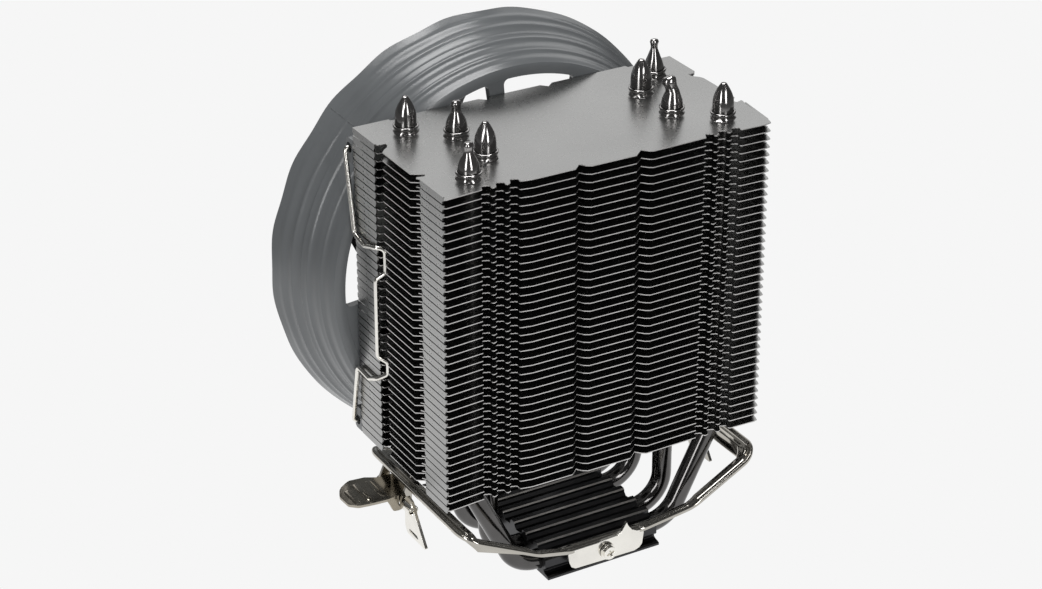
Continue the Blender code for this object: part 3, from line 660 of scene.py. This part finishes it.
def strut(angle):
    """Flat spoke whose roots widen in arcs into the ring and the motor's seat."""
    half_in, half_out, fillet = 1.7, 2.5, 1.7
    inner, outer = MOTOR_R - 1.0, WINDOW_R + 0.6
    edge = [(inner, half_in + 2.2), (inner + 1.6, half_in + 0.9), (inner + 4.0, half_in)]
    for k in range(7):
        phi = math.radians(90.0 * k / 6)
        edge.append((outer - 0.6 - fillet + fillet * math.sin(phi),
                     half_out + fillet * (1 - math.cos(phi))))
    edge.append((outer, half_out + fillet))
    outline = [(r, w) for r, w in edge] + [(r, -w) for r, w in reversed(edge)]
    c, s = math.cos(angle), math.sin(angle)
    outline = [(r * c - w * s, FAN_Z + r * s + w * c) for r, w in outline]
    return plate(outline, FAN_Y + 0.05, FAN_Y + 2.4, "Y")


def lug(side, z, low, high):
    """Ear on the ring with a hole for the wire's end."""
    xs = sorted((side * 53.2, side * 43.0))
    hole = circle((CLIP_Y, z), 1.65, 20)
    outline = rounded([(FAN_Y + 0.05, z + low, 0), (FAN_Y + 4.4, z + low, 0), (FAN_Y + 4.4, z + high, 0),
                       (FAN_Y + 0.05, z + high, 0)], [0, 1.4, 1.4, 0], closed=True, steps=5)
    return plate([(p.x, p.y) for p in outline], xs[0], xs[1], "X", [hole])


def blade(turn):
    """Swept, twisted blade with a rounded section."""
    rings = []
    spans, chords = 14, 10
    for i in range(spans + 1):
        s = i / spans
        r = HUB_R - 1.2 + (BLADE_TIP_R - HUB_R + 1.2) * s
        chord = math.radians(32.0 - 10.0 * s)
        depth = 15.0 - 5.0 * s
        middle = turn - math.radians(26.0) * s * s
        upper, lower = [], []
        for k in range(chords + 1):
            u = k / chords - 0.5
            t = middle - u * chord
            bow = 0.25 - u * u
            y = FAN_Y + 12.5 + u * depth + 4.8 * bow
            thick = 0.18 + 2.6 * bow * (1.0 - 0.45 * s)
            upper.append((r * math.cos(t), y + 0.5 * thick, FAN_Z + r * math.sin(t)))
            lower.append((r * math.cos(t), y - 0.5 * thick, FAN_Z + r * math.sin(t)))
        rings.append(upper + lower[::-1])
    return skin(rings)


def make_rotor():
    near = FAN_Y
    corner = [(HUB_R - 2.2 + 2.2 * math.cos(a), near + 19.8 + 2.2 * math.sin(a))
              for a in (math.radians(15.0 * k) for k in range(7))]
    cup = [(HUB_R, near + 3.0)] + corner + [(13.0, near + 22.0), (12.6, near + 21.6),
           (12.0, near + 21.6), (11.6, near + 22.0), (2.0, near + 22.0), (1.8, near + 16.0),
           (3.6, near + 16.0), (3.6, near + 20.0), (HUB_R - 2.0, near + 19.4),
           (HUB_R - 2.0, near + 3.0)]
    parts = [turned(cup, 72, (0.0, FAN_Z))]
    for i in range(BLADE_COUNT):
        parts.append(blade(math.radians(BLADE_FIRST_DEG + i * 360.0 / BLADE_COUNT)))
    piece("rotor", merged(*parts), [rotor_shell], "fan", ["fan_rotor"], smooth=42)


# ---------------------------------------------------------------- wire clips
def make_clips():
    x = -CLIP_X
    corners = [(-CLIP_TIP_X, CLIP_Y, CLIP_TOP_Z), (x, CLIP_Y, CLIP_TOP_Z + 0.1), (x, 26.6, 101.3),
               (x, 20.6, 100.0), (x, 14.0, 102.2), (-GROOVE_X, 12.2, 101.9), (-GROOVE_X, 12.2, 94.2),
               (x, 13.6, 92.2), (x, 13.8, 67.0), (-GROOVE_X, 12.2, 65.0), (-GROOVE_X, 12.2, 61.2),
               (x, 14.6, 59.2), (x, 19.6, 56.8), (x, 27.2, 57.3), (x, CLIP_Y, CLIP_BOTTOM_Z - 0.1),
               (-CLIP_TIP_X, CLIP_Y, CLIP_BOTTOM_Z)]
    for side, label in ((-1, "left"), (1, "right")):
        route = rounded([(-side * px, y, z) for px, y, z in corners], 1.7, steps=6)
        piece(f"clip_wire_{label}", tube(route, WIRE_R, 16), [bright_nickel], f"clip_{label}",
              [f"fan_clip_{label}"], smooth=60)


# ---------------------------------------------------------------- retention frame
def strip_route():
    """Outer top edge of the strip, one quarter mirrored round."""
    bx, by, bz = ARM_BEND
    corners = [(0.0, WEB_Y, WEB_TOP_Z), (12.6, WEB_Y, WEB_TOP_Z), (bx, by, bz),
               (RAIL_X, RAIL_CORNER_Y, RAIL_Z + 0.1), (RAIL_X, 0.0, RAIL_Z)]
    quarter = rounded(corners, [0, 7.0, 12.0, 7.0, 0], steps=14)
    front_right = [(p.x, -p.y, p.z) for p in quarter[:-1]]
    back_right = [(p.x, p.y, p.z) for p in reversed(quarter)]
    back_left = [(-p.x, p.y, p.z) for p in quarter[1:-1]]
    front_left = [(-p.x, -p.y, p.z) for p in reversed(quarter)]
    return front_right + back_right[:-1] + [(0.0, WEB_Y, WEB_TOP_Z)] + back_left + front_left[:-1]


def strip_section(z):
    """(inwards, down) points: outer wall, bead, groove, shelf and inner wall."""
    climb = min(1.0, max(0.0, (z - 12.0) / 12.0))
    drop = 0.95 + 3.8 * climb
    wide = 4.1 + 0.4 * climb
    return [(0.1, 1.45), (0.0, 1.2), (0.0, 0.62), (0.1, 0.3), (0.32, 0.08), (0.6, 0.0),
            (0.88, 0.08), (1.1, 0.32), (1.25, 0.7), (1.45, 0.86), (1.75, 0.84), (1.95, 0.6),
            (2.12, 0.36), (2.4, 0.26), (2.7, 0.34), (2.95, 0.55), (3.2, 0.6), (wide - 0.6, 0.58),
            (wide - 0.2, 0.66), (wide, 0.95), (wide, drop + 0.3), (wide - 0.75, drop + 0.3),
            (wide - 0.8, 1.45), (0.8, 1.45)]


def strip_bmesh():
    route = strip_route()
    rings = []
    count = len(route)
    for i in range(count):
        point = Vector(route[i])
        along = Vector(route[(i + 1) % count]) - Vector(route[i - 1])
        along.z = 0.0
        along.normalize()
        inward = Vector((-along.y, along.x, 0.0))
        rings.append([point + inward * a - Vector((0.0, 0.0, b)) for a, b in strip_section(point.z)])
    return skin(rings, closed=True)


def web_plate(side):
    """Bright upright plate with its peak, standing in front of the base."""
    outline = [(-13.5, 7.9), (-13.2, 5.0), (-12.4, 3.2), (-11.0, 2.3), (-1.0, 2.1), (9.7, 2.0), (11.4, 2.6),
               (12.4, 3.8), (12.9, 7.6), (12.2, 8.7), (10.4, 9.0), (8.6, 9.9), (7.3, 11.6), (6.8, 12.9),
               (6.2, 12.0), (5.0, 10.2), (3.6, 9.4), (-1.8, 9.2), (-3.3, 8.9), (-12.6, 8.9)]
    outline = [(-side * x, z) for x, z in outline]
    ys = sorted((side * (WEB_Y + 0.04), side * (WEB_Y - SHEET)))
    return plate(outline, ys[0], ys[1], "Y", [circle((0, SCREW_Z), 1.65, 24)])


def hook_outline(pin_notch=()):
    corners = [(-6.9, 10.6), (4.6, 10.6), (5.9, 12.6), *pin_notch, (5.9, 22.0), (4.4, 23.4),
               (1.6, 22.6), (-0.9, 18.8)]
    radii = [0.3, 1.2, 1.5] + [0.0] * len(pin_notch) + [1.2, 0.8, 1.0, 2.0]
    return rounded([(y, z, 0) for y, z in corners], radii, closed=True, steps=5)


def hook_window():
    return rounded([(-2.6, 11.7, 0), (3.4, 11.7, 0), (3.2, 12.7, 0),
                   (-1.6, 12.7, 0)], 0.4, closed=True, steps=4)


def make_retention_frame():
    parts = [strip_bmesh()]
    for y in EAR_YS:
        ear = rounded([(PIN_X - 1.7, PIN_Z - 2.1, 0), (PIN_X + 1.9, PIN_Z - 2.1, 0), (PIN_X + 2.6, 26.6, 0),
                       (PIN_X + 1.0, 26.6, 0), (PIN_X - 1.2, 21.6, 0)], [1.7, 1.8, 0, 0, 1.5], closed=True)
        parts.append(plate([(p.x, p.y) for p in ear], y - 0.45, y + 0.45, "Y",
                           [circle((PIN_X, PIN_Z), PIN_HOLE_R, 20)]))
    hook = hook_outline()
    tall = [(p.x, p.y if p.y < 20.0 else p.y + 3.0) for p in hook]
    parts.append(plate(tall, HOOK_X - 0.6, HOOK_X + 0.3, "X", [[(p.x, p.y) for p in hook_window()]]))
    piece("retention_strip", merged(*parts), [frame_nickel], "retention", ["retention_frame"],
          smooth=35)
    for side, label in ((-1, "front"), (1, "back")):
        piece(f"retention_web_{label}", web_plate(side), [bright_nickel], "retention", (),
              bevel=0.15)


def make_pin():
    stations = [(1.8, PIN_R - 0.2), (2.0, PIN_R), (21.799, PIN_R), (21.8, 1.8), (22.4, 1.8),
                (22.6, 1.3)]
    bm = tube([(PIN_X, y, PIN_Z) for y, _ in stations], [r for _, r in stations], 24)
    piece("pivot_pin", bm, [bright_nickel], "retention", ["lever_pin"], smooth=40)


def rib(x, y0, y1, height):
    """Pressed rib on the lever: a flat crest between two steep flanks."""
    rings = []
    stations = ((y0 - 0.5, -0.3), (y0, 0.7), (y0 + 0.4, 1.0), (y1 - 0.4, 1.0), (y1, 0.7),
                (y1 + 0.5, -0.3))
    for y, rise in stations:
        top = LEVER_Z + height * rise
        section = [(x - 1.0, y, LEVER_Z - 0.4), (x - 0.8, y, top - 0.1), (x - 0.5, y, top),
                   (x + 0.5, y, top), (x + 0.8, y, top - 0.1), (x + 1.0, y, LEVER_Z - 0.4)]
        rings.append(section)
    return skin(rings)


def make_lever():
    """Thumb plate with a bent tip, pressed ridges and two folded wings."""
    corners = [(-47.6, 8.6, 0), (-50.5, 7.8, 0), (-56.0, 7.3, 0), (-61.0, 7.7, 0), (-64.2, 9.6, 0),
               (-66.1, 12.8, 0), (-66.3, 18.4, 0), (-64.8, 21.4, 0), (-61.4, 22.6, 0), (-56.2, 22.0, 0),
               (-53.0, 20.2, 0), (-47.6, 19.9, 0)]
    radii = [0.5, 2, 2, 4, 3, 3, 3, 3, 3, 1, 1, 0.5]
    outline = [(p.x, p.y) for p in rounded(corners, radii, closed=True, steps=5)]
    top = prism(outline, (), LEVER_Z - 0.8, LEVER_Z)
    bmesh.ops.subdivide_edges(top, edges=top.edges, cuts=3, use_grid_fill=True)
    parts = [top]
    for x, y0, y1, height in ((-63.9, 11.2, 18.6, 0.1), (-60.6, 9.6, 19.6, 0.42), (-56.2, 9.6, 19.4, 0.14)):
        parts.append(rib(x, y0, y1, height))
    for y in WING_YS:
        wing = rounded([(PIN_X - 3.4, 17.2, 0), (PIN_X - 1.4, 17.0, 0), (PIN_X + 0.8, 17.5, 0),
                        (PIN_X + 2.1, 18.6, 0), (PIN_X + 2.1, 21.4, 0), (PIN_X - 5.4, 21.4, 0),
                        (PIN_X - 4.2, 19.2, 0)], [1.2, 1.0, 1.0, 0.8, 0, 0, 2.0], closed=True, steps=5)
        parts.append(plate([(p.x, p.y) for p in wing], y, y + SHEET, "Y",
                           [circle((PIN_X, PIN_Z), PIN_HOLE_R, 20)]))
    bm = merged(*parts)
    for vert in bm.verts:
        past = max(0.0, -60.8 - vert.co.x)
        vert.co.z -= 0.2 * past + 0.02 * past * past
    piece("thumb_lever", bm, [lever_nickel], "lever", ["lever"], smooth=30, bevel=0.2)


def make_hook():
    """Hooked sheet, notched for a rolled eye that turns on the pin."""
    notch = [(5.9, PIN_Z - 1.4), (1.6, PIN_Z - 1.4), (1.6, PIN_Z + 1.4), (5.9, PIN_Z + 1.4)]
    sheet = plate([(p.x, p.y) for p in hook_outline(notch)], -HOOK_X - 0.7, -HOOK_X + 0.2, "X",
                  [[(p.x, p.y) for p in hook_window()]])
    eye = turned([(1.3, 1.6), (1.5, 1.5), (1.75, 1.7), (1.75, 5.8), (1.5, 6.0), (1.3, 5.9)],
                 28, (PIN_X, PIN_Z))
    piece("hook_plate", merged(sheet, eye), [bright_nickel], "hook", ["hook"], smooth=35,
          bevel=0.12)


# ---------------------------------------------------------------- studio
def paper():
    """Shadeless floor: even to the camera, lit only near the object for other rays."""
    mat = bpy.data.materials.new("floor_paper")
    mat.use_nodes = True
    tree = mat.node_tree
    tree.nodes.clear()
    place = tree.nodes.new("ShaderNodeTexCoord")
    reach = tree.nodes.new("ShaderNodeVectorMath")
    reach.operation = "LENGTH"
    tree.links.new(place.outputs["Object"], reach.inputs[0])
    pool = tree.nodes.new("ShaderNodeMapRange")
    pool.interpolation_type = "SMOOTHSTEP"
    pool.inputs["From Min"].default_value = POOL_NEAR
    pool.inputs["From Max"].default_value = POOL_FAR
    pool.inputs["To Min"].default_value = POOL_BRIGHT
    pool.inputs["To Max"].default_value = POOL_DIM
    tree.links.new(reach.outputs["Value"], pool.inputs["Value"])
    path = tree.nodes.new("ShaderNodeLightPath")
    pick = tree.nodes.new("ShaderNodeMapRange")
    pick.inputs["To Max"].default_value = PAPER
    tree.links.new(path.outputs["Is Camera Ray"], pick.inputs["Value"])
    tree.links.new(pool.outputs["Result"], pick.inputs["To Min"])
    glow = tree.nodes.new("ShaderNodeEmission")
    tree.links.new(pick.outputs["Result"], glow.inputs["Strength"])
    out = tree.nodes.new("ShaderNodeOutputMaterial")
    tree.links.new(glow.outputs["Emission"], out.inputs["Surface"])
    return mat


def make_studio():
    bpy.context.scene.view_settings.view_transform = "Standard"
    bm = bmesh.new()
    bmesh.ops.create_grid(bm, x_segments=1, y_segments=1, size=3.0)
    bmesh.ops.translate(bm, verts=bm.verts, vec=(0.0, 0.0, -0.0005))
    mesh = bpy.data.meshes.new("floor")
    bm.to_mesh(mesh)
    bm.free()
    mesh.materials.append(paper())
    floor = bpy.data.objects.new("floor", mesh)
    bpy.context.collection.objects.link(floor)

    world = bpy.data.worlds.new("studio")
    bpy.context.scene.world = world
    world.use_nodes = True
    tree = world.node_tree
    tree.nodes.clear()
    out = tree.nodes.new("ShaderNodeOutputWorld")
    back = tree.nodes.new("ShaderNodeBackground")
    path = tree.nodes.new("ShaderNodeLightPath")
    pick = tree.nodes.new("ShaderNodeMapRange")
    pick.inputs["To Min"].default_value = ROOM
    pick.inputs["To Max"].default_value = PAPER
    tree.links.new(path.outputs["Is Camera Ray"], pick.inputs["Value"])
    tree.links.new(pick.outputs["Result"], back.inputs["Strength"])
    tree.links.new(back.outputs["Background"], out.inputs["Surface"])
    back.inputs["Color"].default_value = (1.0, 1.0, 1.0, 1.0)


def softbox(name, place, target, size, power):
    light = bpy.data.lights.new(name, "AREA")
    light.shape = "RECTANGLE"
    light.size, light.size_y = size
    light.energy = power
    obj = bpy.data.objects.new(name, light)
    obj.location = place
    obj.rotation_euler = (Vector(target) - Vector(place)).to_track_quat("-Z", "Y").to_euler()
    obj.visible_camera = False
    bpy.context.collection.objects.link(obj)


def make_lights():
    middle = (0.0, 0.0, 0.08)
    softbox("back_card", (0.9, 1.5, 0.95), middle, (2.4, 1.1), 8.0)
    softbox("top_box", (0.05, 0.2, 1.35), middle, (0.7, 0.7), 13.0)
    softbox("left_strip", (-0.99, -0.59, 0.4), middle, (0.26, 0.9), 4.6)
    softbox("right_strip", (-0.02, -1.15, 0.4), middle, (0.26, 0.9), 4.6)


def make_camera():
    camera = bpy.data.cameras.new("camera")
    camera.sensor_width = SENSOR_MM
    camera.lens = LENS_MM
    camera.clip_start = 0.05
    obj = bpy.data.objects.new("camera", camera)
    turn = Matrix((CAMERA_RIGHT, CAMERA_UP, CAMERA_BACK)).transposed().to_4x4()
    obj.matrix_world = Matrix.Translation(CAMERA_PLACE) @ turn
    bpy.context.collection.objects.link(obj)
    bpy.context.scene.camera = obj


def carry_over():
    """The hidden motor parts keep their CAD shapes and get finished materials."""
    finishes = {"fan_shaft": motor_steel, "fan_bearing": bearing_brass, "fan_stator": winding_copper,
                "fan_circuit_board": board_green, "fan_magnet_ring": motor_steel}
    for node, mat in finishes.items():
        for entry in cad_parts[node].material_slots:
            entry.material = mat


make_camera()
make_studio()
make_lights()
make_fins()
make_pipes()
make_base()
make_screws()
make_fan_frame()
make_rotor()
make_clips()
make_retention_frame()
make_pin()
make_lever()
make_hook()
carry_over()
